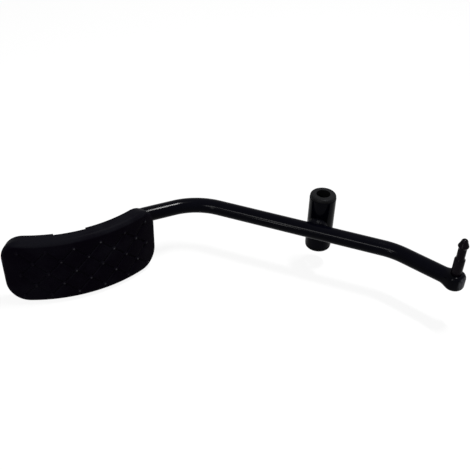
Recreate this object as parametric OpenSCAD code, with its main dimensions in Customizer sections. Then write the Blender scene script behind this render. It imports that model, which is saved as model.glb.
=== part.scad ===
// Accelerator pedal lever with a slip-on rubber pad.
// Millimetres. The origin is the middle of the pivot bore and Z runs along the pivot axis.
// X runs along the straight middle of the rod, towards the linkage pin. The foot side is -Y.

/* [Lever rod] */
// Diameter of the round rod
rod_d = 10; // [8:0.5:12]
// Straight length from the pivot axis to the bend on the pad side
rod_pad_side = 66; // [50:1:90]
// Straight length from the pivot axis to the bend on the pin side
rod_pin_side = 44; // [25:1:60]
// Radius of the large bend on the pad side, at the middle of the rod
pad_bend_r = 37; // [25:1:50]
// Angle of the large bend on the pad side
pad_bend_a = 47; // [35:1:55]
// Straight length between the large bend and the small one
leg_len = 20.3; // [14:0.1:30]
// Radius of the small bend that lays the rod against the plate
tail_bend_r = 15; // [12:0.5:30]
// Angle of the small bend
tail_bend_a = 29.8; // [22:0.1:34]
// Length of rod that follows the back of the plate
tail_len = 44; // [36:1:55]

/* [Arm and eye] */
// Radius of the bend on the pin side, at the middle of the rod
arm_bend_r = 40; // [25:1:60]
// Angle of the bend on the pin side
arm_bend_a = 20; // [10:1:30]
// Straight length from that bend to the middle of the eye
arm_len = 33.4; // [25:0.2:50]
// Outer diameter of the upset eye at the end of the arm
eye_d = 12.4; // [12:0.2:16]
// Height of the eye, over its two flat faces
eye_h = 10.4; // [10.2:0.2:12]
// Rounding of the eye's edges
eye_round = 2.8; // [0.5:0.1:2.8]
// Hole through the eye
eye_hole_d = 5; // [4:0.1:6]

/* [Linkage pin] */
// Diameter of the pin's bearing collar
pin_d = 6.4; // [6:0.1:8]
// Length of the bearing collar above the eye
pin_len = 11; // [8:0.5:20]
// Diameter of the narrow neck that a snap socket grips
neck_d = 5; // [4:0.1:5.5]
// Length of the neck
neck_len = 7.3; // [3:0.1:8]
// Largest diameter of the snap head
head_d = 6.4; // [6:0.1:8]
// Length of the snap head
head_len = 6.3; // [5:0.1:12]
// Height of the slope under the head
head_slope = 1.2; // [0.3:0.1:1.5]
// Height of the head's straight band
head_band = 0.5; // [0.3:0.1:2]
// Diameter of the head's round tip
head_tip_d = 4.2; // [2.5:0.1:5]
// Diameter of the riveted end under the eye
rivet_d = 6.8; // [6:0.1:6.8]
// Diameter of the riveted end's flat
rivet_tip_d = 4.4; // [3:0.1:6]
// Height of the riveted end
rivet_h = 1.6; // [1:0.1:2.5]

/* [Pivot tube] */
// Outer diameter of the pivot tube
tube_d = 17; // [15:0.5:22]
// Bore of the tube
tube_bore = 13; // [11:0.5:13.5]
// Length of the tube
tube_len = 36.6; // [30:0.2:50]
// Chamfer on the tube's edges
tube_chamfer = 0.6; // [0.2:0.1:1]
// Bore of the bushes, for the pivot shaft
pivot_bore = 9; // [7:0.5:9.5]
// Length of a bush inside the tube
bush_len = 14; // [8:1:15]
// Thickness of a bush's flange
flange_t = 2; // [1.2:0.1:3]
// Rounding of the flange's outer edge
flange_round = 1.5; // [0.5:0.1:1.9]
// How much smaller than the tube the flange is, all round
flange_inset = 0.2; // [0.1:0.1:1]

/* [Pad] */
// Length of the pad along its curved face
pad_len = 104.4; // [95:0.2:115]
// Width of the pad
pad_w = 45.2; // [42:0.2:60]
// Radius of the curved face
face_r = 88.8; // [80:0.2:110]
// How far the pad's middle lies below the rod's middle
pad_drop = 10; // [6:0.1:11]
// Length of rod from the small bend to the middle of the pad
pad_lead = 39.4; // [36:0.1:44]
// Radius of the pad's corners
pad_corner_r = 13.6; // [8:0.2:18]
// Rubber over the front of the plate
face_t = 5.3; // [4:0.1:7]
// Thickness of the plate
plate_t = 2; // [1.5:0.1:3]
// Rubber lip behind the plate
lip_t = 2; // [1:0.1:3]
// How far the lip reaches in over the plate
lip_w = 4; // [2:0.5:6]
// Rubber beside the plate, along its long edges
pad_wall = 3; // [2:0.2:5]
// Rubber beyond the plate at its two ends
end_wall = 7.6; // [3:0.2:9]
// Rounding of the front edges
front_round = 3.4; // [1:0.1:4]
// Rounding of the back edges
back_round = 1.2; // [0.5:0.1:2]
// Length of the gap in the lips of the long sides
lip_gap = 19; // [8:1:30]
// How far the gap's middle lies from the pad's, away from the rod
lip_gap_shift = 7; // [0:0.5:10]

/* [Tread] */
// Pitch of the tread's columns along the face
tread_pitch = 8.25; // [6:0.25:12]
// Pitch of the tread's rows across the face
tread_pitch_w = 8.2; // [6:0.1:12]
// How far the tread's middle lies from the face's, towards the rod
tread_shift = 0.7; // [0:0.1:3]
// How far the tread's middle lies below the face's
tread_drop = 1; // [0:0.1:3]
// Least distance of a dot from the pad's edge
tread_edge = 4.4; // [3.6:0.1:10]
// Width of a groove at the face
groove_w = 1.4; // [0.6:0.1:1.6]
// Least distance between the ends of two grooves, inside a dot
groove_apart = 0.06; // [0.04:0.01:0.1]
// Diameter of a dot at the face
dot_d = 2.6; // [2.4:0.1:3.2]
// Height of a dot above the face
dot_h = 0.5; // [0.3:0.1:0.8]

/* [Clearances] */
// Gap between a bush and the tube, all round
bush_gap = 0.05; // [0.02:0.01:0.2]
// Gap between the pin's shank and its hole, all round
shank_gap = 0.05; // [0.02:0.01:0.2]
// Gap between the rubber and the plate
rubber_gap = 0.1; // [0.05:0.05:0.3]
// Gap between the rubber and the rod
channel_gap = 0.6; // [0.3:0.1:1]
// Gap between the rubber lips and the rod's end
rod_end_gap = 2; // [1:0.5:4]

/* [Welds] */
// Reach of the weld round the crossing of rod and tube
tube_weld_r = 6.8; // [6:0.1:8]
// Radius of a weld bead between rod and plate
bead_r = 1.9; // [1.5:0.1:2.4]
// Length of a weld bead between rod and plate
bead_len = 30; // [15:1:34]
// How far a bead's middle lies behind the plate
bead_behind = 1; // [0.5:0.1:1.5]
// How far a bead's middle lies inside the rod's side
bead_inside = 0.6; // [0.3:0.1:1]

/* [Hidden] */
$fn = 72;
steel_paint = "#1b1b1d";
plastic_black = "#232325";
rubber_black = "#141414";
// the rod lies against the tube on the foot side
rod_y = -(rod_d + tube_d) / 2;
// how far a straight length reaches into the bend that follows it
joint_in = 0.2;
// how much thinner the bar is drawn where it is bent
bend_thin = 0.04;
// how far past the cover's faces the rounding of its long edges runs out
run_out = 0.03;
// how far past the pad's ends, in degrees, its curved bands are drawn before they are cut
past_end = 12;
// how far behind the lips the cuts through them begin
past_back = 8;
// half the depth of the prism that cuts the pad's outline
outline_depth = 70;
// radii from the pad's centre of curvature
plate_front_r = face_r - face_t;
plate_back_r = plate_front_r - plate_t;
cover_back_r = plate_back_r - lip_t;
tail_r = plate_back_r - rod_d / 2;
// angles seen from the pad's centre of curvature
pad_half_a = deg(pad_len / 2, face_r);
band_a = pad_half_a + past_end;
lead_a = deg(pad_lead, tail_r);
tail_a = deg(tail_len, tail_r);
bead_a = deg(bead_len, tail_r);
lip_gap_a = deg(lip_gap, cover_back_r);
lip_gap_mid_a = deg(lip_gap_shift, cover_back_r);
cut_from_r = cover_back_r - past_back;
// the tread's columns and rows, counted both ways from the middle of the face
tread_a = deg(tread_pitch, face_r);
tread_mid_a = deg(tread_shift, face_r);
dot_r = (dot_d * dot_d / 4 + dot_h * dot_h) / (2 * dot_h);
tread_cols = floor((pad_len / 2 - tread_edge) / tread_pitch);
tread_rows = floor((pad_w / 2 - tread_edge) / tread_pitch_w);
// a groove starts inside its dot, clear of the dot's other grooves
groove_start = groove_w / 2 + groove_apart;
eye_top = eye_h / 2;

function deg(arc, r) = arc / r * 180 / PI;

// Frames along the rod

module pad_side_frame() {
    translate([-rod_pad_side, rod_y, 0])
        rotate([0, 0, 180])
            children();
}

module pin_side_frame() {
    translate([rod_pin_side, rod_y, 0])
        children();
}

module after_left_bend(r, a) {
    translate([r * sin(a), r * (1 - cos(a)), 0])
        rotate([0, 0, a])
            children();
}

module leg_frame() {
    pad_side_frame()
        after_left_bend(pad_bend_r, pad_bend_a)
            children();
}

module tail_frame() {
    leg_frame()
        translate([leg_len, 0, 0])
            after_left_bend(tail_bend_r, tail_bend_a)
                children();
}

// X points from the pad's centre of curvature to the small bend's end
module curve_frame() {
    tail_frame()
        translate([0, -tail_r, 0])
            rotate([0, 0, 90])
                children();
}

// X points from the pad's centre of curvature to the middle of its face
module pad_frame() {
    curve_frame()
        rotate([0, 0, -lead_a])
            translate([0, 0, -pad_drop])
                children();
}

module eye_frame() {
    pin_side_frame()
        mirror([0, 1, 0])
            after_left_bend(arm_bend_r, arm_bend_a)
                translate([arm_len, 0, 0])
                    children();
}

// Round rod

module straight(d, length) {
    rotate([0, 90, 0])
        cylinder(d = d, h = length);
}

module left_bend(r, a) {
    translate([0, r, 0])
        rotate([0, 0, -90])
            rotate_extrude(angle = a)
                translate([r, 0])
                    children();
}

module tail_sweep(a_from, a_to) {
    curve_frame()
        rotate([0, 0, -a_to])
            rotate_extrude(angle = a_to - a_from)
                children();
}

// The bar from the pin side's bend to its end behind the pad
module round_rod(d) {
    translate([-rod_pad_side - joint_in, rod_y, 0])
        straight(d, rod_pad_side + rod_pin_side + 2 * joint_in);
    pad_side_frame()
        left_bend(pad_bend_r, pad_bend_a)
            circle(d = d - bend_thin);
    leg_frame()
        translate([-joint_in, 0, 0])
            straight(d, leg_len + 2 * joint_in);
    leg_frame()
        translate([leg_len, 0, 0])
            left_bend(tail_bend_r, tail_bend_a)
                circle(d = d - bend_thin);
    tail_sweep(-deg(joint_in, tail_r), tail_a)
        translate([tail_r, 0])
            circle(d = d);
}

// Arm and eye

module round_arm(d) {
    pin_side_frame()
        mirror([0, 1, 0])
            left_bend(arm_bend_r, arm_bend_a)
                circle(d = d - bend_thin);
    eye_frame()
        translate([-arm_len - joint_in, 0, 0])
            straight(d, arm_len + joint_in);
}

module eye_half_section() {
    core = eye_d / 2 - eye_round;
    translate([0, -eye_h / 2])
        square([core, eye_h]);
    translate([0, -eye_h / 2 + eye_round])
        square([eye_d / 2, eye_h - 2 * eye_round]);
    for (side = [-1, 1])
        translate([core, side * (eye_h / 2 - eye_round)])
            circle(r = eye_round);
}

module lever_rod() {
    color(steel_paint) {
        difference() {
            union() {
                round_rod(rod_d);
                round_arm(rod_d);
                eye_frame()
                    rotate_extrude()
                        eye_half_section();
            }
            eye_frame()
                cylinder(d = eye_hole_d, h = eye_h * 2, center = true);
        }
    }
}

// Pivot

module pivot_tube() {
    color(steel_paint)
        rotate_extrude()
            difference() {
                translate([0, -tube_len / 2])
                    square([tube_d / 2, tube_len]);
                translate([0, -tube_len])
                    square([tube_bore / 2, tube_len * 2]);
                for (end = [-1, 1])
                    translate([tube_d / 2, end * tube_len / 2])
                        rotate([0, 0, 45])
                            square(tube_chamfer * sqrt(2), center = true);
            }
}

module bush() {
    flange_r = tube_d / 2 - flange_inset;
    color(plastic_black)
        rotate_extrude() {
            translate([pivot_bore / 2, -bush_len])
                square([tube_bore / 2 - bush_gap - pivot_bore / 2, bush_len]);
            translate([pivot_bore / 2, 0])
                square([flange_r - flange_round - pivot_bore / 2, flange_t]);
            translate([flange_r - flange_round, 0])
                square([flange_round, flange_t - flange_round]);
            intersection() {
                translate([flange_r - flange_round, flange_t - flange_round])
                    circle(r = flange_round);
                translate([pivot_bore / 2, 0])
                    square([flange_r, flange_t]);
            }
        }
}

module bush_upper() {
    translate([0, 0, tube_len / 2])
        bush();
}

module bush_lower() {
    mirror([0, 0, 1])
        bush_upper();
}

module tube_weld() {
    color(steel_paint)
        difference() {
            difference() {
                translate([0, -tube_d / 2, 0])
                    sphere(r = tube_weld_r);
                translate([0, rod_y, 0])
                    rotate([0, 90, 0])
                        cylinder(d = rod_d, h = tube_weld_r * 4, center = true);
            }
            cylinder(d = tube_d, h = tube_weld_r * 4, center = true);
        }
}

// Linkage pin

module linkage_pin() {
    shank_d = eye_hole_d - 2 * shank_gap;
    neck_slope = (pin_d - neck_d) / 2;
    neck_z = eye_top + pin_len;
    head_z = neck_z + neck_len;
    cone_z = head_z + head_slope + head_band;
    tip_z = head_z + head_len - head_tip_d / 2;
    color(steel_paint)
        eye_frame() {
            translate([0, 0, -eye_top - rivet_h / 2])
                cylinder(d = shank_d, h = eye_h + rivet_h);
            translate([0, 0, -eye_top - rivet_h])
                cylinder(d1 = rivet_tip_d, d2 = rivet_d, h = rivet_h);
            translate([0, 0, eye_top])
                cylinder(d = pin_d, h = pin_len - neck_slope);
            translate([0, 0, neck_z - neck_slope])
                cylinder(d1 = pin_d, d2 = neck_d, h = neck_slope);
            translate([0, 0, neck_z])
                cylinder(d = neck_d, h = neck_len);
            translate([0, 0, head_z])
                cylinder(d1 = neck_d, d2 = head_d, h = head_slope);
            translate([0, 0, head_z + head_slope])
                cylinder(d = head_d, h = head_band);
            translate([0, 0, cone_z])
                cylinder(d1 = head_d, d2 = head_tip_d, h = tip_z - cone_z);
            translate([0, 0, tip_z])
                sphere(d = head_tip_d);
        }
}

// Pad

// Both ends of the pad, each in a frame whose XZ plane is that end's wall.
// The walls stand square to the curved face, and the pad lies on their -Y side.
module each_end() {
    for (end = [0, 1])
        mirror([0, end, 0])
            rotate([0, 0, pad_half_a])
                children();
}

// What rounding takes off one edge of an end's wall, seen along Z.
// The arc's middle lies centre_r from the centre of curvature, and side is 1 in front, -1 behind.
module end_edge_waste(round_r, centre_r, side) {
    centre_y = run_out - round_r;
    centre_x = sqrt(centre_r * centre_r - centre_y * centre_y);
    reach = 3 * round_r;
    outward = side * reach / centre_r;
    difference() {
        polygon([
            [centre_x, centre_y],
            [centre_x + outward * centre_x, centre_y + outward * centre_y],
            [centre_x + outward * centre_x, centre_y + outward * centre_y + 2 * reach],
            [centre_x, centre_y + reach]
        ]);
        translate([centre_x, centre_y])
            circle(r = round_r);
    }
}

module end_rounding_waste() {
    each_end()
        translate([0, 0, -pad_w])
            linear_extrude(pad_w * 2) {
                end_edge_waste(front_round, face_r + run_out - front_round, 1);
                end_edge_waste(back_round, cover_back_r - run_out + back_round, -1);
            }
}

// The pad cut across, with its long edges rounded front and back
module cover_profile() {
    front = face_r;
    back = cover_back_r;
    translate([front - front_round, -pad_w / 2 + front_round])
        square([front_round, pad_w - 2 * front_round]);
    translate([back + back_round, -pad_w / 2])
        square([front - front_round - back - back_round, pad_w]);
    translate([back, -pad_w / 2 + back_round])
        square([back_round, pad_w - 2 * back_round]);
    for (side = [-1, 1]) {
        translate([front - front_round, side * (pad_w / 2 - front_round)])
            circle(r = front_round);
        translate([back + back_round, side * (pad_w / 2 - back_round)])
            circle(r = back_round);
    }
}

// One end's outline seen square to its wall, as a prism with rounded corners.
// It ends inset short of the wall and reaches past the pad's other end.
module end_outline(inset, width, corner) {
    translate([face_r - outline_depth, 0, 0])
        rotate([90, 0, 90])
            linear_extrude(outline_depth * 2) {
                translate([-2 * pad_len, -width / 2])
                    square([2 * pad_len - inset - corner, width]);
                translate([-inset - 2 * corner, -width / 2 + corner])
                    square([2 * corner, width - 2 * corner]);
                for (side = [-1, 1])
                    translate([-inset - corner, side * (width / 2 - corner)])
                        circle(r = corner);
            }
}

// The pad's outline: what lies inside both ends' prisms
module pad_outline(inset, width, corner) {
    intersection_for (end = [0, 1])
        mirror([0, end, 0])
            rotate([0, 0, pad_half_a])
                end_outline(inset, width, corner);
}

module arc_band(r1, r2, width, half_a) {
    rotate([0, 0, -half_a])
        rotate_extrude(angle = half_a * 2, $fn = 360)
            translate([r1, -width / 2])
                square([r2 - r1, width]);
}

module plate_shape(grow) {
    width = pad_w - 2 * pad_wall + 2 * grow;
    intersection() {
        arc_band(plate_back_r - grow, plate_front_r + grow, pad_w * 2, band_a);
        pad_outline(end_wall - grow, width, pad_corner_r - pad_wall + grow);
    }
}

module pad_plate() {
    color(steel_paint)
        pad_frame()
            plate_shape(0);
}

module pad_weld(side) {
    color(steel_paint)
        tail_sweep(lead_a / 2 - bead_a / 2, lead_a / 2 + bead_a / 2)
            difference() {
                translate([plate_back_r - bead_behind, side * (rod_d / 2 - bead_inside)])
                    circle(r = bead_r);
                translate([tail_r, 0])
                    circle(d = rod_d);
                translate([plate_back_r, -rod_d])
                    square([rod_d, rod_d * 2]);
            }
}

module pad_weld_upper() {
    pad_weld(1);
}

module pad_weld_lower() {
    pad_weld(-1);
}

// The window in the back of the cover, inside its lips
module back_window() {
    inner_w = pad_w - 2 * pad_wall - 2 * lip_w;
    intersection() {
        arc_band(cut_from_r, plate_back_r, pad_w * 2, band_a);
        pad_outline(end_wall + lip_w, inner_w, pad_corner_r - pad_wall - lip_w);
    }
}

// The room that the rod and its welds need through the lips
module rod_channel() {
    channel_w = rod_d + 2 * bead_r + 2 * channel_gap;
    tail_sweep(-deg(end_wall * 2, tail_r), tail_a + deg(rod_end_gap, tail_r))
        translate([cut_from_r, -channel_w / 2])
            square([plate_back_r - cut_from_r, channel_w]);
    round_rod(rod_d + 2 * channel_gap);
}

module cover_body() {
    difference() {
        pad_frame()
            difference() {
                intersection() {
                    rotate([0, 0, -band_a])
                        rotate_extrude(angle = band_a * 2, $fn = 360)
                            cover_profile();
                    pad_outline(0, pad_w + 2 * run_out, pad_corner_r);
                }
                end_rounding_waste();
            }
        pad_frame()
            plate_shape(rubber_gap);
        pad_frame()
            back_window();
        pad_frame()
            rotate([0, 0, -lip_gap_mid_a])
                arc_band(cut_from_r, plate_back_r, pad_w * 2, lip_gap_a / 2);
        rod_channel();
    }
}

// True where the tread has a dot: at every second crossing of its columns and rows,
// clear of the pad's rounded corners
function has_dot(col, row) =
    abs(col + row) % 2 == 1
    && abs(col) <= tread_cols
    && abs(row) <= tread_rows
    && norm([
        max(0, abs(col * tread_pitch + tread_shift) - pad_len / 2 + pad_corner_r),
        max(0, abs(row * tread_pitch_w - tread_drop) - pad_w / 2 + pad_corner_r)
    ]) <= pad_corner_r - tread_edge;

module tread_dots() {
    for (col = [-tread_cols:tread_cols], row = [-tread_rows:tread_rows])
        if (has_dot(col, row))
            rotate([0, 0, col * tread_a])
                translate([face_r + dot_h - dot_r, 0, row * tread_pitch_w])
                    sphere(r = dot_r);
}

// A straight groove from each dot to its neighbours in the next column
module tread_grooves() {
    run = 2 * face_r * sin(tread_a / 2);
    length = norm([run, tread_pitch_w]) - 2 * groove_start;
    for (col = [-tread_cols:tread_cols - 1], row = [-tread_rows:tread_rows], step = [-1, 1])
        if (has_dot(col, row) && has_dot(col + 1, row + step))
            rotate([0, 0, (col + 0.5) * tread_a])
                translate([face_r * cos(tread_a / 2), -run / 2, row * tread_pitch_w])
                    rotate([-atan2(run, step * tread_pitch_w), 0, 0])
                        translate([0, 0, groove_start])
                            cylinder(d = groove_w, h = length);
}

// The rod's side of the face is at the higher angles
module tread_frame() {
    pad_frame()
        rotate([0, 0, tread_mid_a])
            translate([0, 0, -tread_drop])
                children();
}

module pad_cover() {
    color(rubber_black) {
        difference() {
            cover_body();
            tread_frame()
                tread_grooves();
        }
        tread_frame()
            tread_dots();
    }
}

lever_rod();
pivot_tube();
tube_weld();
bush_upper();
bush_lower();
linkage_pin();
pad_plate();
pad_weld_upper();
pad_weld_lower();
pad_cover();
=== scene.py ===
import math
import bpy
import bmesh
from mathutils import Matrix, Vector, noise
from mathutils.geometry import delaunay_2d_cdt


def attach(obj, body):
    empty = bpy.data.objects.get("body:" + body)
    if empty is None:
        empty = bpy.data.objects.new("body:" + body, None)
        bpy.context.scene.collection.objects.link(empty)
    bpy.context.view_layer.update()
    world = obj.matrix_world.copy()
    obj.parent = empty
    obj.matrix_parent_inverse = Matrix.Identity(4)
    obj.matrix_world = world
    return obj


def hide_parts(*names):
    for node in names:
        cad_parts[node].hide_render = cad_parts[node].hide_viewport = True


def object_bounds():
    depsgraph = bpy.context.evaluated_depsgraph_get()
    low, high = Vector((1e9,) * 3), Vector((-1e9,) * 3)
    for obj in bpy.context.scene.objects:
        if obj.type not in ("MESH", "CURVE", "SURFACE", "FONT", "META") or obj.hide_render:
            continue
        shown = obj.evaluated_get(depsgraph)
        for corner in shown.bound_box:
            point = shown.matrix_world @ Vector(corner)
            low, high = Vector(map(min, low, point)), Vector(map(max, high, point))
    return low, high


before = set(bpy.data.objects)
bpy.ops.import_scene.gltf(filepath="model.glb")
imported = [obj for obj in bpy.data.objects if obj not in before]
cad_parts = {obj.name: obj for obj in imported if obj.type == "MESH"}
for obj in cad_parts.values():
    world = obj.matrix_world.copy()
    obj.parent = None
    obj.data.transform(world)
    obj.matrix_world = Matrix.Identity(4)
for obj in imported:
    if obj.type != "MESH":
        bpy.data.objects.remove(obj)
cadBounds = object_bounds()
print("frame loaded:", len(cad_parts), "nodes")

mm = 0.001  # sizes of the pieces are in millimetres, Blender works in metres


# Shader nodes

def mathNode(tree, operation, *inputs):
    node = tree.nodes.new("ShaderNodeMath")
    node.operation = operation
    for socket, value in zip(node.inputs, inputs):
        if isinstance(value, float):
            socket.default_value = value
        else:
            tree.links.new(value, socket)
    return node.outputs[0]


def mapRange(tree, value, source, target):
    node = tree.nodes.new("ShaderNodeMapRange")
    for name, number in zip(("From Min", "From Max", "To Min", "To Max"), (*source, *target)):
        node.inputs[name].default_value = number
    tree.links.new(value, node.inputs["Value"])
    return node.outputs["Result"]


def noiseNode(tree, place, scale, detail=3.0, rough=0.55):
    node = tree.nodes.new("ShaderNodeTexNoise")
    node.inputs["Scale"].default_value = scale
    node.inputs["Detail"].default_value = detail
    node.inputs["Roughness"].default_value = rough
    tree.links.new(place, node.inputs["Vector"])
    return node.outputs["Fac"]


def axes(tree, vector):
    node = tree.nodes.new("ShaderNodeSeparateXYZ")
    tree.links.new(vector, node.inputs[0])
    return node.outputs


def fromMiddle(tree, place, middle):  # the surface's place as seen from a point, in metres
    node = tree.nodes.new("ShaderNodeVectorMath")
    node.operation = "SUBTRACT"
    tree.links.new(place, node.inputs[0])
    node.inputs[1].default_value = middle * mm
    return node.outputs[0]


def mixColour(tree, factor, first, second):
    node = tree.nodes.new("ShaderNodeMix")
    node.data_type = "RGBA"
    tree.links.new(factor, node.inputs["Factor"])
    for socket, value in ((node.inputs["A"], first), (node.inputs["B"], second)):
        if isinstance(value, tuple):
            socket.default_value = value
        else:
            tree.links.new(value, socket)
    return node.outputs["Result"]


def mixShaders(tree, factor, first, second, output):
    mix = tree.nodes.new("ShaderNodeMixShader")
    for socket, value in zip(mix.inputs, (factor, first.outputs[0], second.outputs[0])):
        tree.links.new(value, socket)
    tree.links.new(mix.outputs[0], tree.nodes.new(output).inputs["Surface"])


# Camera, floor and lamps

photoCamera = {
    "place": (0.07989, -0.37102, 0.26364),
    "aim": (-0.04489, -0.03729, 0.0),
    "lens": 54.12,
    "sensor": 36.0,
    "roll": 1.713,  # degrees, the photo leans a little
    "nearest": 0.01,
}

studio = {
    "floorDrop": 1.5 * mm,  # floor below the pad's lowest point
    "floorSize": 40.0,
    "floorColour": (0.86, 0.86, 0.86, 1.0),
    "floorWhite": 0.9,  # how much of the floor the camera sees as plain white
    "airColour": (1.0, 1.0, 1.0, 1.0),
    "ambient": 0.2,
    "white": 1.0,
}

# Directions are degrees round from +X and up from the floor, seen from the aimed point. Turned is about that
# direction, and the rest is in metres.
lamps = {
    "window": {
        "round": 27.5, "up": 73.0, "turned": -69.0, "away": 1.0, "aim": (-0.097, -0.034, 0.0),
        "size": (0.07, 0.27), "watts": 13.0,
    },
    "leftStrip": {
        "round": -102.5, "up": 33.0, "turned": 0.0, "away": 1.0, "aim": (-0.01, -0.017, 0.0),
        "size": (0.34, 0.12), "watts": 4.2,
    },
    "lowStrip": {
        "round": -112.0, "up": 11.0, "turned": 0.0, "away": 0.8, "aim": (0.09, -0.03, 0.02),
        "size": (0.05, 0.12), "watts": 0.7,
    },
    "backStrip": {
        "round": 36.0, "up": 11.0, "turned": 0.0, "away": 0.8, "aim": (0.09, -0.03, 0.0),
        "size": (0.05, 0.16), "watts": 0.5,
    },
}


def addCamera(spec):
    data = bpy.data.cameras.new("photoCamera")
    data.lens = spec["lens"]
    data.sensor_width = spec["sensor"]
    data.clip_start = spec["nearest"]
    camera = bpy.data.objects.new("photoCamera", data)
    bpy.context.scene.collection.objects.link(camera)
    place = Vector(spec["place"])
    look = (Vector(spec["aim"]) - place).to_track_quat("-Z", "Y").to_matrix().to_4x4()
    roll = Matrix.Rotation(math.radians(spec["roll"]), 4, "Z")
    camera.matrix_world = Matrix.Translation(place) @ look @ roll
    bpy.context.scene.camera = camera


def seenRays(tree):  # one for rays from the camera, off a gloss or through glass, else zero
    rays = tree.nodes.new("ShaderNodeLightPath").outputs
    seen = mathNode(tree, "MAXIMUM", rays["Is Camera Ray"], rays["Is Glossy Ray"])
    return mathNode(tree, "MAXIMUM", seen, rays["Is Transmission Ray"])


def addFloor(spec):
    half = spec["floorSize"] / 2
    level = cadBounds[0][2] - spec["floorDrop"]
    mesh = bpy.data.meshes.new("studioFloor")
    corners = [(-half, -half, level), (half, -half, level), (half, half, level), (-half, half, level)]
    mesh.from_pydata(corners, [], [(0, 1, 2, 3)])
    floor = bpy.data.objects.new("studioFloor", mesh)
    bpy.context.scene.collection.objects.link(floor)
    material = bpy.data.materials.new("palePaper")
    material.use_nodes = True
    tree = material.node_tree
    tree.nodes.clear()
    paper = tree.nodes.new("ShaderNodeBsdfDiffuse")
    paper.inputs["Color"].default_value = spec["floorColour"]
    white = tree.nodes.new("ShaderNodeEmission")
    white.inputs["Strength"].default_value = spec["white"]
    share = mathNode(tree, "MULTIPLY", seenRays(tree), spec["floorWhite"])
    mixShaders(tree, share, paper, white, "ShaderNodeOutputMaterial")
    mesh.materials.append(material)


def addWorld(spec):
    world = bpy.data.worlds.new("studioAir")
    world.use_nodes = True
    tree = world.node_tree
    tree.nodes.clear()
    airs = []
    for strength in (spec["ambient"], spec["white"]):
        air = tree.nodes.new("ShaderNodeBackground")
        air.inputs["Color"].default_value = spec["airColour"]
        air.inputs["Strength"].default_value = strength
        airs.append(air)
    mixShaders(tree, seenRays(tree), *airs, "ShaderNodeOutputWorld")
    bpy.context.scene.world = world
    bpy.context.scene.view_settings.view_transform = "Standard"


def addLamp(name, spec):
    data = bpy.data.lights.new(name, "AREA")
    data.shape = "RECTANGLE"
    data.size, data.size_y = spec["size"]
    data.energy = spec["watts"]
    lamp = bpy.data.objects.new(name, data)
    bpy.context.scene.collection.objects.link(lamp)
    around, up = math.radians(spec["round"]), math.radians(spec["up"])
    away = Vector((math.cos(up) * math.cos(around), math.cos(up) * math.sin(around), math.sin(up)))
    facing = away.to_track_quat("Z", "Y").to_matrix().to_4x4()
    turned = Matrix.Rotation(math.radians(spec["turned"]), 4, "Z")
    lamp.matrix_world = Matrix.Translation(Vector(spec["aim"]) + away * spec["away"]) @ facing @ turned


addCamera(photoCamera)
addFloor(studio)
addWorld(studio)
for lampName, lampSpec in lamps.items():
    addLamp(lampName, lampSpec)
print("camera, floor and lamps placed")


# Places along the bar, worked out as the frame's solids are

bar = {
    "diameter": 10.0,
    "padSide": 66.0,  # pivot axis to the big bend
    "pinSide": 44.0,  # pivot axis to the arm's bend
    "bigBend": (37.0, 47.0),  # radius at the bar's middle, degrees
    "leg": 20.3,
    "smallBend": (15.0, 29.8),
    "tail": 44.0,
    "endChamfer": 0.6,
    "endSteps": 4,
    "step": 1.2,  # between the rings of points
    "straightRings": (-0.66, -0.33, 0.0, 0.33, 0.66),  # shares of the straight on either side of the pivot
    "sharp": 40.0,  # degrees between faces from which an edge is sharp
}

arm = {
    "bend": (40.0, 20.0),
    "length": 33.4,
    "eyeWidth": 12.4,
    "eyeHeight": 10.4,
    "eyeRound": 2.8,
    "eyeHole": 5.0,
    "eyeSteps": 32,
    "holeSteps": 64,
    "swell": 7.5,  # length over which the arm widens into the eye
    "step": 0.9,
}

pivot = {"tubeDiameter": 17.0}

pad = {
    "length": 104.4,
    "width": 45.2,
    "faceRadius": 88.8,
    "corner": 13.6,
    "faceRubber": 5.3,
    "plate": 2.0,
    "lip": 2.0,
    "lipReach": 4.0,
    "lipEdge": 0.8,  # rounding of the lips' inner edge
    "sideWall": 3.0,
    "endWall": 7.6,
    "frontRound": 3.4,
    "backRound": 1.2,
    "lipGap": 19.0,
    "lipGapShift": 7.0,  # away from the bar
    "fit": 0.1,
    "barFit": 0.6,
    "beadRadius": 1.9,
    "barEndGap": 2.0,
    "lead": 39.4,  # small bend's end to the pad's middle, along the bar
    "drop": 10.0,  # pad's middle below the bar's
    "sharp": 38.0,
    "cornerSteps": 18,
    "sideSteps": 26,  # along half a long side
    "endSteps": 5,  # along half an end's straight
    "frontSteps": 9,
    "wallSteps": 5,
    "backSteps": 5,
    "backGrid": (2.6, 3.0),  # spacing of the back's points, along and across
    "backEdge": 2.6,  # how far they stay from its edge
    "roomGrid": (3.0, 4.0),
    "roomEdge": 0.9,
    "lipSteps": 6,
    "arcSteps": 24,
    "barStep": 1.5,
    "past": 3.0,  # how far the cut rooms stand out behind the pad
    "pastSides": 2.0,  # and above and below it
}


def shift(x, y=0.0, z=0.0):
    return Matrix.Translation((x, y, z))


def turn(degrees):
    return Matrix.Rotation(math.radians(degrees), 4, "Z")


def afterBend(radius, degrees):  # left bends are positive
    angle = math.radians(abs(degrees))
    side = math.copysign(1.0, degrees)
    return shift(radius * math.sin(angle), side * radius * (1 - math.cos(angle))) @ turn(degrees)


def smooth(low, high, value):
    t = min(1.0, max(0.0, (value - low) / (high - low)))
    return t * t * (3 - 2 * t)


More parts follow.
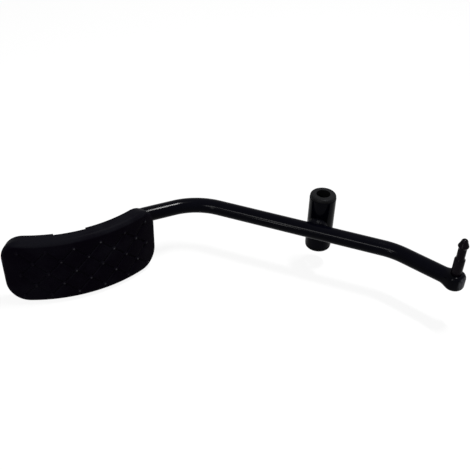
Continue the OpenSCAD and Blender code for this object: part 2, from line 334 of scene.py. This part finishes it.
barY = -(bar["diameter"] + pivot["tubeDiameter"]) / 2
plateFront = pad["faceRadius"] - pad["faceRubber"]
plateBack = plateFront - pad["plate"]
coverBack = plateBack - pad["lip"]
tailRadius = plateBack - bar["diameter"] / 2
padHalfAngle = pad["length"] / 2 / pad["faceRadius"]
padHalfWidth = pad["width"] / 2
padSideEnd = shift(-bar["padSide"], barY) @ turn(180)
tailStart = padSideEnd @ afterBend(*bar["bigBend"]) @ shift(bar["leg"]) @ afterBend(*bar["smallBend"])
curveMiddle = tailStart @ shift(0, -tailRadius) @ turn(90)
padPlace = curveMiddle @ turn(-math.degrees(pad["lead"] / tailRadius)) @ shift(0, 0, -pad["drop"])
armStart = shift(bar["pinSide"], barY)
eyePlace = armStart @ afterBend(arm["bend"][0], -arm["bend"][1]) @ shift(arm["length"])


# Finishes. Grain and patch are noise scales, bump is in millimetres.

paint = {
    "colour": (0.0003, 0.0003, 0.0012, 1.0),
    "dustAndLight": (0.0008, 0.0008, 0.0020, 1.0),
    "rough": (0.11, 0.16),
    "specular": 0.026,
    "grain": 500.0,
    "bump": 0.003,
    "wearAndHighlight": {"colour": (0.029, 0.030, 0.034, 1.0), "rough": 0.3},  # painted highlight on the eye's end, lighter and rougher
    "highlightSide": -28.0,  # degrees round the eye from +X
    "wearAndHighlightFrom": (4.8, 5.6),  # from the eye's middle
    "streaks": 1100.0,
    "streakLength": 0.15,  # how slowly the streaks change upwards
    "streakFrom": (0.38, 0.6),
    "leastWearAndHighlight": 0.1,
}

beadPaint = {
    "colour": (0.0003, 0.0003, 0.0012, 1.0),
    "dustAndLight": (0.0013, 0.0013, 0.0023, 1.0),
    "rough": (0.24, 0.38),
    "specular": 0.018,
    "grain": 900.0,
    "bump": 0.01,
}

pinPaint = {
    "colour": (0.0017, 0.0010, 0.0020, 1.0),
    "dustAndLight": (0.0030, 0.0022, 0.0036, 1.0),
    "rough": (0.18, 0.30),
    "specular": 0.03,
    "grain": 1200.0,
    "bump": 0.01,
}

rubber = {
    "colour": (0.0010, 0.0005, 0.0017, 1.0),
    "dustAndLight": (0.0037, 0.0036, 0.0051, 1.0),
    "edgeHighlightAbove": (9.3, 10.3),  # along Z, where the upper edge starts to turn and is painted lighter all over: a painted highlight
    "edgeHighlight": 0.9,
    "rough": (0.36, 0.48),
    "specular": 0.005,
    "grain": 2500.0,
    "bump": 0.03,
    "wearAndHighlight": {"colour": (0.026, 0.026, 0.029, 1.0), "rough": 0.25},  # the dots' rubbed tips, painted lighter as a highlight
    "wearAndHighlightFrom": (0.34, 0.46),  # above the plain face
    "wearAndHighlightTowards": (-137.0, -127.0),  # along X, least to most rubbing and painted highlight
    "leastWearAndHighlight": 0.15,
    "wearAndHighlightPatch": 130.0,  # some dots get more rubbing and painted highlight than their neighbours
    "patchFrom": (0.42, 0.6),
    "leastPatch": 0.25,
}

plastic = {
    "colour": (0.0030, 0.0030, 0.0034, 1.0),
    "dustAndLight": (0.0060, 0.0062, 0.0070, 1.0),
    "rough": (0.40, 0.55),
    "specular": 0.03,
    "grain": 1800.0,
    "bump": 0.02,
}

# Dust lies in patches, and what looks up gets more of the same lighter colour: dust and painted top light.
# Of two pairs, the first is read from the patches or the normal, and the second is the share of that colour
# that it gives.
dustAndTopLight = {
    "patch": 60.0,
    "up": ((0.2, 0.95), (0.0, 0.75)),
    "uneven": ((0.3, 0.6), (0.6, 1.1)),
    "thin": ((0.45, 0.75), (0.0, 0.4)),
    "roughFrom": (0.3, 0.7),
}


def metres(pair):
    return pair[0] * mm, pair[1] * mm


def eyeEndHighlight(tree, place, spec):  # one on the far side of the eye, in upright streaks: a painted highlight
    x, y, z = axes(tree, fromMiddle(tree, place, eyePlace.translation))
    side = math.radians(spec["highlightSide"])
    towards = mathNode(tree, "MULTIPLY", x, math.cos(side))
    reach = mathNode(tree, "MULTIPLY_ADD", y, math.sin(side), towards)
    near = mapRange(tree, reach, metres(spec["wearAndHighlightFrom"]), (0.0, 1.0))
    upright = tree.nodes.new("ShaderNodeCombineXYZ")
    for socket, value in zip(upright.inputs, (x, y, mathNode(tree, "MULTIPLY", z, spec["streakLength"]))):
        tree.links.new(value, socket)
    streak = noiseNode(tree, upright.outputs[0], spec["streaks"], detail=2.0)
    share = mapRange(tree, streak, spec["streakFrom"], (spec["leastWearAndHighlight"], 1.0))
    return mathNode(tree, "MULTIPLY", near, share)


def aboveFace(tree, place):  # height above the pad's plain face, in metres
    x, y, _ = axes(tree, fromMiddle(tree, place, curveMiddle.translation))
    squares = mathNode(tree, "MULTIPLY_ADD", y, y, mathNode(tree, "MULTIPLY", x, x))
    return mathNode(tree, "SUBTRACT", mathNode(tree, "SQRT", squares), pad["faceRadius"] * mm)


def dotWearAndHighlight(tree, place, spec):  # one on the tips of the tread's dots, less towards the pad's outer end: rubbed tips with a painted highlight
    tips = mapRange(tree, aboveFace(tree, place), metres(spec["wearAndHighlightFrom"]), (0.0, 1.0))
    along = axes(tree, place)["X"]
    share = mapRange(tree, along, metres(spec["wearAndHighlightTowards"]), (spec["leastWearAndHighlight"], 1.0))
    patch = noiseNode(tree, place, spec["wearAndHighlightPatch"])
    uneven = mapRange(tree, patch, spec["patchFrom"], (spec["leastPatch"], 1.0))
    return mathNode(tree, "MULTIPLY", tips, mathNode(tree, "MULTIPLY", share, uneven))


def blackFinish(name, spec, wearAndHighlightMask=None):
    material = bpy.data.materials.new(name)
    material.use_nodes = True
    tree = material.node_tree
    shader = tree.nodes["Principled BSDF"]
    place = tree.nodes.new("ShaderNodeTexCoord").outputs["Object"]
    patches = noiseNode(tree, place, dustAndTopLight["patch"])
    up = axes(tree, tree.nodes.new("ShaderNodeNewGeometry").outputs["Normal"])["Z"]
    # painted top light: what looks up gets more of the lighter colour, as if lit from above
    top = mapRange(tree, up, *dustAndTopLight["up"])
    # painted highlight: the pad's upper edge gets the lighter colour, where it catches the light
    if "edgeHighlightAbove" in spec:
        edge = mapRange(tree, axes(tree, place)["Z"], metres(spec["edgeHighlightAbove"]), (0.0, spec["edgeHighlight"]))
        top = mathNode(tree, "MAXIMUM", top, edge)
    uneven = mapRange(tree, patches, *dustAndTopLight["uneven"])
    thin = mapRange(tree, patches, *dustAndTopLight["thin"])
    dustAndLightShare = mathNode(tree, "MULTIPLY_ADD", top, uneven, thin)
    colour = mixColour(tree, dustAndLightShare, spec["colour"], spec["dustAndLight"])
    rough = mapRange(tree, patches, dustAndTopLight["roughFrom"], spec["rough"])
    # rubbed dot tips and painted highlights: the masked places get a lighter colour and their own roughness
    if wearAndHighlightMask:
        wearAndHighlightShare = wearAndHighlightMask(tree, place, spec)
        wearAndHighlight = spec["wearAndHighlight"]
        colour = mixColour(tree, wearAndHighlightShare, colour, wearAndHighlight["colour"])
        rough = mathNode(tree, "MULTIPLY_ADD", wearAndHighlightShare, mathNode(tree, "SUBTRACT", wearAndHighlight["rough"], rough), rough)
    tree.links.new(colour, shader.inputs["Base Color"])
    tree.links.new(rough, shader.inputs["Roughness"])
    shader.inputs["Specular IOR Level"].default_value = spec["specular"]
    bump = tree.nodes.new("ShaderNodeBump")
    bump.inputs["Distance"].default_value = spec["bump"] * mm
    tree.links.new(noiseNode(tree, place, spec["grain"], detail=2.0), bump.inputs["Height"])
    tree.links.new(bump.outputs["Normal"], shader.inputs["Normal"])
    return material


paintedSteel = blackFinish("paintedSteel", paint, eyeEndHighlight)
rubberMoulding = blackFinish("rubberMoulding", rubber, dotWearAndHighlight)
bushPlastic = blackFinish("bushPlastic", plastic)
weldPaint = blackFinish("weldPaint", beadPaint)
pinSteel = blackFinish("pinSteel", pinPaint)
print("finishes made")


def finish(node, material):
    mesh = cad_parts[node].data
    mesh.materials.clear()
    mesh.materials.append(material)


# Mesh helpers

closest = 0.0005  # millimetres, points of a mesh nearer than this are one
closestFlat = 0.0001  # the same on an unrolled face


def newObject(name, points, faces, place=Matrix.Identity(4)):  # points in millimetres
    mesh = bpy.data.meshes.new(name)
    mesh.from_pydata([place @ Vector(point) * mm for point in points], [], faces)
    work = bmesh.new()
    work.from_mesh(mesh)
    bmesh.ops.remove_doubles(work, verts=work.verts, dist=closest * mm)
    bmesh.ops.recalc_face_normals(work, faces=work.faces)
    work.to_mesh(mesh)
    work.free()
    piece = bpy.data.objects.new(name, mesh)
    bpy.context.scene.collection.objects.link(piece)
    return piece


def applied(piece):  # the piece's mesh with its modifiers applied
    bpy.context.view_layer.update()
    graph = bpy.context.evaluated_depsgraph_get()
    mesh = bpy.data.meshes.new_from_object(piece.evaluated_get(graph))
    mesh.name = piece.name
    piece.modifiers.clear()
    piece.data = mesh


def cutAway(piece, cutters):
    for cutter in cutters:
        cut = piece.modifiers.new(cutter.name, "BOOLEAN")
        cut.operation = "DIFFERENCE"
        cut.solver = "EXACT"
        cut.object = cutter
    applied(piece)
    for cutter in cutters:
        bpy.data.objects.remove(cutter)


def dress(piece, material, replaced, sharpDegrees):
    mesh = piece.data
    mesh.materials.clear()
    mesh.materials.append(material)
    mesh.polygons.foreach_set("use_smooth", [True] * len(mesh.polygons))
    mesh.set_sharp_from_angle(angle=math.radians(sharpDegrees))
    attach(piece, "root")
    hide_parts(replaced)
    print("made", piece.name, "with", len(mesh.polygons), "faces")


def skin(rings):  # quads between closed rings of equal length
    faces = []
    count = len(rings[0])
    for k in range(len(rings) - 1):
        for i in range(count):
            j = (i + 1) % count
            faces.append((k * count + i, k * count + j, (k + 1) * count + j, (k + 1) * count + i))
    return [point for ring in rings for point in ring], faces


def capped(points, faces, count):  # with a face over the first ring and one over the last
    return points, faces + [tuple(range(count)), tuple(range(len(points) - count, len(points)))]


def joined(*meshes):
    points, faces = [], []
    for morePoints, moreFaces in meshes:
        faces += [tuple(index + len(points) for index in face) for face in moreFaces]
        points += morePoints
    return points, faces


def curved(radius, angle, across):
    return Vector((radius * math.cos(angle), radius * math.sin(angle), across))


# Rubber pad

tread = {
    "pitch": 8.25,
    "pitchAcross": 8.2,
    "shift": 0.7,
    "lower": 1.0,
    "edge": 4.4,
    "grooveDepth": 0.6,
    "grooveFloor": 0.28,  # half the width of the groove's floor
    "grooveHalf": 0.9,  # half its width at the face
    "pillowDepth": 0.15,  # how much the cells fall towards the grooves
    "pillowReach": 2.7,
    "dotWidth": 2.6,
    "dotHeight": 0.5,
    "dotRim": 0.25,
    "reliefEdge": 0.2,  # plain up to here from the flat face's edge
    "grooveStep": 0.7,  # spacing of the points along a groove
    "grooveEnd": 1.45,  # where they start, from the dot's middle
    "grooveOffsets": (0.18, 0.36, 0.54, 0.72, 0.95, 1.35),  # across it, to both sides
    "dotRings": ((0.45, 8), (0.8, 12), (1.1, 18), (1.27, 22), (1.34, 22), (1.6, 20)),  # radius, points
    "plainStep": 1.8,  # spacing of the plain face's points
    "plainRow": 0.866,  # between their rows, as a share of the step
    "clearDot": 2.1,
    "clearGroove": 1.7,
    "clearEdge": 0.7,
    "pointEdge": 0.45,  # no point nearer than this to the flat face's edge
    "endShare": 1.05,  # of the front rounding, taken off the face at its ends
}


# A station of the pad's outline: which end, up or down, distance from that end's wall, distance across,
# the outward normal's two parts, and how far it has gone towards the pad's middle.
def padStations(inset, halfWidth, corner):
    quarter = []
    for k in range(pad["endSteps"]):
        quarter.append((inset, (halfWidth - corner) * k / pad["endSteps"], 1.0, 0.0, 0.0))
    for k in range(pad["cornerSteps"] + 1):
        angle = math.radians(90 * k / pad["cornerSteps"])
        along, across = math.cos(angle), math.sin(angle)
        quarter.append((inset + corner * (1 - along), halfWidth - corner * (1 - across), along, across, 0.0))
    for k in range(1, pad["sideSteps"] + 1):
        quarter.append((inset + corner, halfWidth, 0.0, 1.0, k / pad["sideSteps"]))
    loop = [(1, 1, *station) for station in quarter]
    loop += [(-1, 1, *station) for station in reversed(quarter[:-1])]
    loop += [(-1, -1, *station) for station in quarter[1:]]
    return loop + [(1, -1, *station) for station in reversed(quarter[1:-1])]


def stationPlace(station, radius, inwards=0.0):  # angle from the pad's middle, and distance across
    end, up, inset, across, outAlong, outAcross, share = station
    inset += inwards * outAlong
    inset += (radius * math.sin(padHalfAngle) - inset) * share
    return end * (padHalfAngle - math.asin(inset / radius)), up * (across - inwards * outAcross)


def edgeDistance(place, halfLength, halfWidth, corner):  # below zero inside the rounded outline
    overX, overY = abs(place.x) - halfLength + corner, abs(place.y) - halfWidth + corner
    return math.hypot(max(overX, 0), max(overY, 0)) + min(max(overX, overY), 0) - corner


def insideGrid(outline, spacing, edge):  # points inside an outline, at least this far from its edge
    columns, rows = (int(half / step) + 1 for half, step in zip(outline, spacing))
    found = []
    for column in range(-columns, columns + 1):
        for row in range(-rows, rows + 1):
            place = Vector((column * spacing[0], row * spacing[1]))
            if edgeDistance(place, *outline) < -edge:
                found.append(place)
    return found


# Rings of a rounding, from the face (side 1) or the back (side -1) to the wall, and the flat edge that it
# starts at.
def filletRings(stations, radius, ball, side, steps):
    rings = [[] for _ in range(steps + 1)]
    flat = []
    for station in stations:
        end, up, _, _, outAlong, outAcross, _ = station
        angle, across = stationPlace(station, radius - side * ball, ball)
        onFace = curved(side, angle, 0)
        wallX, wallY = -math.sin(padHalfAngle) * outAlong, end * math.cos(padHalfAngle) * outAlong
        onWall = Vector((wallX, wallY, up * outAcross))
        for k, ring in enumerate(rings):
            ring.append(curved(radius - side * ball, angle, across) + ball * onFace.slerp(onWall, k / steps))
        flat.append(Vector((radius * angle, across)))
    return rings, flat


def treadDots():
    columns = int((pad["length"] / 2 - tread["edge"]) / tread["pitch"])
    rows = int((pad["width"] / 2 - tread["edge"]) / tread["pitchAcross"])
    found = {}
    for column in range(-columns, columns + 1):
        for row in range(-rows, rows + 1):
            across = row * tread["pitchAcross"] - tread["lower"]
            place = Vector((column * tread["pitch"] + tread["shift"], across))
            room = -edgeDistance(place, pad["length"] / 2, padHalfWidth, pad["corner"])
            if (column + row) % 2 and room >= tread["edge"]:
                found[column, row] = place
    return found


def treadGrooves(dots):
    grooves = []
    for (column, row), dot in dots.items():
        for step in (-1, 1):
            if (column + 1, row + step) in dots:
                grooves.append((dot, dots[column + 1, row + step]))
    return grooves


def nearestGroove(place, grooves):
    distances = []
    for start, end in grooves:
        run = end - start
        t = min(1.0, max(0.0, (place - start).dot(run) / run.length_squared))
        distances.append((start + run * t - place).length)
    return min(distances)


def faceRelief(place, dots, grooves):  # height above the plain face
    toDot = min((place - dot).length for dot in dots)
    dotHalf, dotHeight = tread["dotWidth"] / 2, tread["dotHeight"]
    dome = (dotHalf ** 2 + dotHeight ** 2) / (2 * dotHeight)
    if toDot < dotHalf:
        return math.sqrt(dome ** 2 - toDot ** 2) - dome + dotHeight
    toGroove = nearestGroove(place, grooves)
    cut = 1 - smooth(tread["grooveFloor"], tread["grooveHalf"], toGroove)
    pillow = 1 - smooth(tread["grooveHalf"] / 2, tread["pillowReach"], toGroove)
    fade = smooth(dotHalf, dotHalf + tread["dotRim"], toDot)
    return -(cut * tread["grooveDepth"] + pillow * tread["pillowDepth"]) * fade


def facePoints(dots, grooves, room):  # close together on grooves and dots, wide apart between
    points = []
    clearEnd = tread["grooveEnd"]
    for start, end in grooves:
        along = (end - start).normalized()
        across = Vector((-along.y, along.x))
        length = (end - start).length - 2 * clearEnd
        steps = int(length / tread["grooveStep"])
        for k in range(steps + 1):
            middle = start + along * (clearEnd + length * k / steps)
            points.append(middle)
            for offset in tread["grooveOffsets"]:
                points += [middle + across * offset, middle - across * offset]
    for dot in dots:
        points.append(dot)
        for reach, count in tread["dotRings"]:
            for k in range(count):
                angle = math.tau * (k + 0.5) / count
                points.append(dot + Vector((math.cos(angle), math.sin(angle))) * reach)
    step = tread["plainStep"]
    columns, rows = int(pad["length"] / step) + 1, int(pad["width"] / step) + 1
    for column in range(-columns, columns + 1):
        for row in range(-rows, rows + 1):
            place = Vector((column + 0.5 * (row % 2), row * tread["plainRow"])) * step
            if room(place) < tread["clearEdge"]:
                continue
            if min((place - dot).length for dot in dots) < tread["clearDot"]:
                continue
            if nearestGroove(place, grooves) > tread["clearGroove"]:
                points.append(place)
    return [point for point in points if room(point) > tread["pointEdge"]]


def curvedCap(boundary, inner, radius, relief=None):  # triangles on the curved face inside a closed boundary
    outline = [list(range(len(boundary)))]
    insideOnly = 1  # the kind of result
    flat, _, triangles, *_ = delaunay_2d_cdt(boundary + inner, [], outline, insideOnly, closestFlat)
    points = []
    for place in flat:
        points.append(curved(radius + (relief(place) if relief else 0.0), place.x / radius, place.y))
    return points, [tuple(face) for face in triangles]


def curvedSlab(levels):  # closed block between levels of (radius, inset from the ends, half width, corner)
    rings, caps = [], []
    for k, (radius, inset, halfWidth, corner) in enumerate(levels):
        places = [stationPlace(station, radius) for station in padStations(inset, halfWidth, corner)]
        rings.append([curved(radius, angle, across) for angle, across in places])
        if k in (0, len(levels) - 1):
            flat = [Vector((radius * angle, across)) for angle, across in places]
            outline = (radius * padHalfAngle - inset, halfWidth, corner)
            inner = insideGrid(outline, pad["roomGrid"], pad["roomEdge"])
            caps.append(curvedCap(flat, inner, radius))
    return joined(skin(rings), *caps)


def bandBlock(profile, low, high):  # a closed outline of (radius, degrees), drawn out across the pad
    rings = []
    for level in (low, high):
        rings.append([curved(radius, math.radians(degrees), level) for radius, degrees in profile])
    return capped(*skin(rings), len(profile))


def lipFlank(flare):  # (radius, how much wider) from the plate out past the lip's rounded edge
    flank = [(plateBack, 0.0)]
    for k in range(pad["lipSteps"] + 1):
        t = k / pad["lipSteps"]
        flank.append((coverBack + flare * (1 - t), flare * (1 - math.cos(t * math.pi / 2))))
    return flank + [(coverBack - pad["past"], flare)]


def arcProfile(start, end, flare=0.0):  # outline of a room through the lips, between two angles in degrees
    flank = lipFlank(flare)
    steps = pad["arcSteps"]
    outerArc = [(flank[0][0], start + (end - start) * k / steps) for k in range(steps + 1)]
    endFlank = [(radius, end + math.degrees(more / radius)) for radius, more in flank[1:]]
    innerArc = [(flank[-1][0], end + (start - end) * k / steps) for k in range(1, steps)]
    startFlank = [(radius, start - math.degrees(more / radius)) for radius, more in reversed(flank[1:])]
    return outerArc + endFlank + innerArc + startFlank


def rubberBody():
    ball = pad["frontRound"]
    stations = padStations(0.0, padHalfWidth, pad["corner"])
    front, frontFlat = filletRings(stations, pad["faceRadius"], ball, 1, pad["frontSteps"])
    back, backFlat = filletRings(stations, coverBack, pad["backRound"], -1, pad["backSteps"])
    wall = []
    for k in range(1, pad["wallSteps"]):
        wall.append([a.lerp(b, k / pad["wallSteps"]) for a, b in zip(front[-1], back[-1])])
    body = skin(front + wall + back[::-1])

    found = treadDots()
    dots, grooves = list(found.values()), treadGrooves(found)
    faceLength = pad["length"] / 2 - ball * tread["endShare"]

    def room(place):
        return -edgeDistance(place, faceLength, padHalfWidth - ball, pad["corner"] - ball)

    def relief(place):
        return faceRelief(place, dots, grooves) if room(place) > tread["reliefEdge"] else 0.0

    face = curvedCap(frontFlat, facePoints(dots, grooves, room), pad["faceRadius"], relief)
    backOutline = (coverBack * padHalfAngle, padHalfWidth, pad["corner"])
    backInner = insideGrid(backOutline, pad["backGrid"], pad["backEdge"])
    backFace = curvedCap(backFlat, backInner, coverBack)
    return joined(body, face, backFace)


def makePadCover():
    cover = newObject("padCoverRubber", *rubberBody(), padPlace)
    fit, lip, lipEdge = pad["fit"], pad["lipReach"], pad["lipEdge"]
    roomWidth = padHalfWidth - pad["sideWall"]
    roomCorner = pad["corner"] - pad["sideWall"]
    grown = (pad["endWall"] - fit, roomWidth + fit, roomCorner + fit)
    plateRoom = curvedSlab([(plateBack - fit, *grown), (plateFront + fit, *grown)])
    windowLevels = []
    for radius, more in lipFlank(lipEdge):
        narrower = lip - more
        windowLevels.append((radius, pad["endWall"] + narrower, roomWidth - narrower, roomCorner - narrower))
    gapHalf = math.degrees(pad["lipGap"] / 2 / coverBack)
    gapMiddle = -math.degrees(pad["lipGapShift"] / coverBack)
    gapReach = padHalfWidth + pad["pastSides"]
    gap = bandBlock(arcProfile(gapMiddle - gapHalf, gapMiddle + gapHalf, lipEdge), -gapReach, gapReach)
    channelHalf = bar["diameter"] / 2 + pad["beadRadius"] + pad["barFit"]
    channelStart = -math.degrees((bar["tail"] + pad["barEndGap"]) / tailRadius)
    channelEnd = math.degrees(2 * pad["endWall"] / tailRadius)
    channel = bandBlock(arcProfile(channelStart, channelEnd), -channelHalf, channelHalf)
    cutters = [
        newObject("plateRoom", *plateRoom, padPlace),
        newObject("windowRoom", *curvedSlab(windowLevels), padPlace),
        newObject("gapRoom", *gap, padPlace),
        newObject("channelRoom", *channel, curveMiddle),
        newObject("barRoom", *barSkin(pad["barFit"])),
    ]
    cutAway(cover, cutters)
    dress(cover, rubberMoulding, "pad_cover", pad["sharp"])


# Bar, arm and eye

def walk(start, moves, step):  # places along straights and bends
    places = [start]
    for move in moves:
        if len(move) == 1:
            count = max(1, int(move[0] / step))
            places += [start @ shift(move[0] * k / count) for k in range(1, count + 1)]
            start = start @ shift(move[0])
        else:
            radius, degrees = move
            count = max(2, int(abs(math.radians(degrees)) * radius / step))
            places += [start @ afterBend(radius, degrees * k / count) for k in range(1, count + 1)]
            start = start @ afterBend(radius, degrees)
    return places


def tailWalk(longer, step):  # from the big bend to the end behind the pad
    tailBend = (tailRadius, -math.degrees((bar["tail"] + longer) / tailRadius))
    return walk(padSideEnd, [bar["bigBend"], (bar["leg"],), bar["smallBend"], tailBend], step)


def sectionLoop(halfWidth, halfThick, rounding, perCorner=10):  # across and up, from the left top round
    loop = []
    for quarter in range(4):
        sideX, sideY = (1, -1, -1, 1)[quarter], (1, 1, -1, -1)[quarter]
        for k in range(perCorner):
            angle = math.radians(90 * (quarter + (k + 0.5) / perCorner))
            x = sideX * (halfWidth - rounding) + rounding * math.cos(angle)
            y = sideY * (halfThick - rounding) + rounding * math.sin(angle)
            loop.append((x, y))
    return loop


def placedLoop(place, loop):
    return [place @ Vector((0, across, up)) for across, up in loop]


def barSkin(grow):  # the plain round bar, closed at both ends
    half = bar["diameter"] / 2 + grow
    loop = sectionLoop(half, half, half)
    rings = [placedLoop(place, loop) for place in tailWalk(grow, pad["barStep"])]
    return capped(*skin(rings), len(loop))


def barRings():  # from the end behind the pad to the eye's middle
    half = bar["diameter"] / 2
    chamfer = bar["endChamfer"]
    roundLoop = sectionLoop(half, half, half)
    tail = tailWalk(-chamfer, bar["step"])
    rings = [placedLoop(place @ turn(180), roundLoop) for place in reversed(tail)]
    for k in range(1, bar["endSteps"] + 1):
        angle = math.radians(90 * k / bar["endSteps"])
        rest = half - chamfer * (1 - math.cos(angle))
        endPlace = tail[-1] @ shift(chamfer * math.sin(angle)) @ turn(180)
        rings.insert(0, placedLoop(endPlace, sectionLoop(rest, rest, rest)))
    for share in bar["straightRings"]:
        reach = bar["padSide"] if share < 0 else bar["pinSide"]
        rings.append(placedLoop(shift(share * reach, barY), roundLoop))
    eyeHalf, eyeTop = arm["eyeWidth"] / 2, arm["eyeHeight"] / 2
    for place in walk(armStart, [(arm["bend"][0], -arm["bend"][1]), (arm["length"],)], arm["step"]):
        toEye = (place.translation - eyePlace.translation).length
        grown = smooth(-arm["swell"], 0.0, -toEye)
        width = half + (eyeHalf - half) * grown
        thick = half + (eyeTop - half) * grown
        edge = half + (arm["eyeRound"] - half) * grown
        rings.append(placedLoop(place, sectionLoop(width, thick, min(edge, thick, width))))
    return rings


def addEyeEnd(points, faces, count):  # half of the last ring's section, turned about the eye's middle
    base = len(points) - count
    quarter = count // 4
    leftSide = list(range(base + 3 * quarter, base + count)) + list(range(base, base + quarter))
    rightSide = list(range(base + 3 * quarter - 1, base + quarter - 1, -1))
    profile = sectionLoop(arm["eyeWidth"] / 2, arm["eyeHeight"] / 2, arm["eyeRound"])
    half = [profile[index - base] for index in leftSide]
    previous = leftSide
    tops, bottoms = [previous[-1]], [previous[0]]
    for k in range(1, arm["eyeSteps"] + 1):
        current = rightSide
        if k < arm["eyeSteps"]:
            current = list(range(len(points), len(points) + len(half)))
            points += placedLoop(eyePlace @ turn(-180 * k / arm["eyeSteps"]), half)
        for i in range(len(current) - 1):
            faces.append((previous[i], previous[i + 1], current[i + 1], current[i]))
        tops.append(current[-1])
        bottoms.append(current[0])
        previous = current
    faces += [tuple(tops), tuple(bottoms)]


def makeLeverBar():
    rings = barRings()
    points, faces = skin(rings)
    count = len(rings[0])
    faces.append(tuple(range(count)))
    addEyeEnd(points, faces, count)
    lever = newObject("leverBar", points, faces)
    holeSteps = arm["holeSteps"]
    hole = []
    for level in (-arm["eyeHeight"], arm["eyeHeight"]):
        hole.append([curved(arm["eyeHole"] / 2, math.tau * k / holeSteps, level) for k in range(holeSteps)])
    cutAway(lever, [newObject("eyeRoom", *capped(*skin(hole), holeSteps), eyePlace)])
    dress(lever, paintedSteel, "lever_rod", bar["sharp"])


# Linkage pin

pin = {
    "rivet": (4.4, 6.8, 1.6),  # flat, widest diameter, height
    "shank": 4.9,
    "collar": (6.4, 11.0),  # diameter, height, as for the next two
    "neck": (5.0, 7.3),
    "head": (6.4, 6.3),
    "headSlope": 1.2,
    "headBand": 0.5,
    "tip": 4.2,
    "tipSteps": 6,
    "edge": 0.3,  # rounding of the turned edges
    "around": 64,
    "sharp": 50.0,
}


def softened(profile, radius, steps=4, most=0.45):  # an open outline with its inner corners rounded
    result = [Vector(profile[0])]
    for before, corner, after in zip(profile, profile[1:], profile[2:]):
        corner = Vector(corner)
        toBefore, toAfter = Vector(before) - corner, Vector(after) - corner
        reach = min(radius, toBefore.length * most, toAfter.length * most)
        a, b = corner + toBefore.normalized() * reach, corner + toAfter.normalized() * reach
        for k in range(steps + 1):
            t = k / steps
            result.append(a * (1 - t) ** 2 + corner * (2 * t * (1 - t)) + b * t ** 2)
    return result + [Vector(profile[-1])]


def lathe(profile, around):
    rings = []
    for radius, height in profile:
        rings.append([curved(max(radius, 0.0), math.tau * k / around, height) for k in range(around)])
    return skin(rings)


def makeLinkagePin():
    top = arm["eyeHeight"] / 2
    rivetFlat, rivetWide, rivetHeight = pin["rivet"]
    collarWide, collarHeight = pin["collar"]
    neckWide, neckHeight = pin["neck"]
    headWide, headHeight = pin["head"]
    slope = (collarWide - neckWide) / 2
    neckBase = top + collarHeight
    headBase = neckBase + neckHeight
    tipHalf = pin["tip"] / 2
    tipMiddle = headBase + headHeight - tipHalf
    outline = [
        (0.0, -top - rivetHeight),
        (rivetFlat / 2, -top - rivetHeight),
        (rivetWide / 2, -top),
        (pin["shank"] / 2, -top),
        (pin["shank"] / 2, top),
        (collarWide / 2, top),
        (collarWide / 2, neckBase - slope),
        (neckWide / 2, neckBase),
        (neckWide / 2, headBase),
        (headWide / 2, headBase + pin["headSlope"]),
        (headWide / 2, headBase + pin["headSlope"] + pin["headBand"]),
        (tipHalf, tipMiddle),
    ]
    for k in range(1, pin["tipSteps"] + 1):
        angle = math.radians(90 * k / pin["tipSteps"])
        outline.append((tipHalf * math.cos(angle), tipMiddle + tipHalf * math.sin(angle)))
    piece = newObject("linkagePin", *lathe(softened(outline, pin["edge"]), pin["around"]), eyePlace)
    dress(piece, pinSteel, "linkage_pin", pin["sharp"])


# Weld beads

beads = {
    "voxel": 0.28,
    "soften": 0.5,
    "softenTimes": 3,
    "ripple": 0.13,  # height of the ripples
    "lump": 0.10,
    "lumpScale": 0.55,
    "aroundTube": 22,  # ripples round the crossing
    "alongPad": 1.6,  # ripple length along the pad's beads
    "lean": 0.6,  # of the ripples, across those beads
    "sharp": 70.0,
}


def beadFrom(node, name, phase):
    piece = bpy.data.objects.new(name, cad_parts[node].data.copy())
    bpy.context.scene.collection.objects.link(piece)
    remesh = piece.modifiers.new("even", "REMESH")
    remesh.mode = "VOXEL"
    remesh.voxel_size = beads["voxel"] * mm
    soften = piece.modifiers.new("soften", "SMOOTH")
    soften.factor = beads["soften"]
    soften.iterations = beads["softenTimes"]
    applied(piece)
    mesh = piece.data
    normals = [vertex.normal.copy() for vertex in mesh.vertices]
    for vertex, normal in zip(mesh.vertices, normals):
        wave = abs(math.sin(phase(vertex.co / mm)))
        lump = noise.noise(vertex.co / mm * beads["lumpScale"])
        vertex.co += normal * mm * (beads["ripple"] * (wave - 0.5) + beads["lump"] * lump)
    dress(piece, weldPaint, node, beads["sharp"])


def aroundTube(place):
    return math.atan2(place.z, place.x) * beads["aroundTube"] / 2


def alongPad(place):
    local = curveMiddle.inverted() @ place
    along = math.atan2(local.y, local.x) * tailRadius
    return along / beads["alongPad"] * math.pi + abs(local.z) * beads["lean"]


makeLeverBar()
makePadCover()
makeLinkagePin()
beadFrom("tube_weld", "tubeWeldBead", aroundTube)
beadFrom("pad_weld_upper", "padWeldBeadUpper", alongPad)
beadFrom("pad_weld_lower", "padWeldBeadLower", alongPad)
for nodeName in ("pivot_tube", "pad_plate"):
    finish(nodeName, paintedSteel)
for nodeName in ("bush_upper", "bush_lower"):
    finish(nodeName, bushPlastic)
print("pieces made")
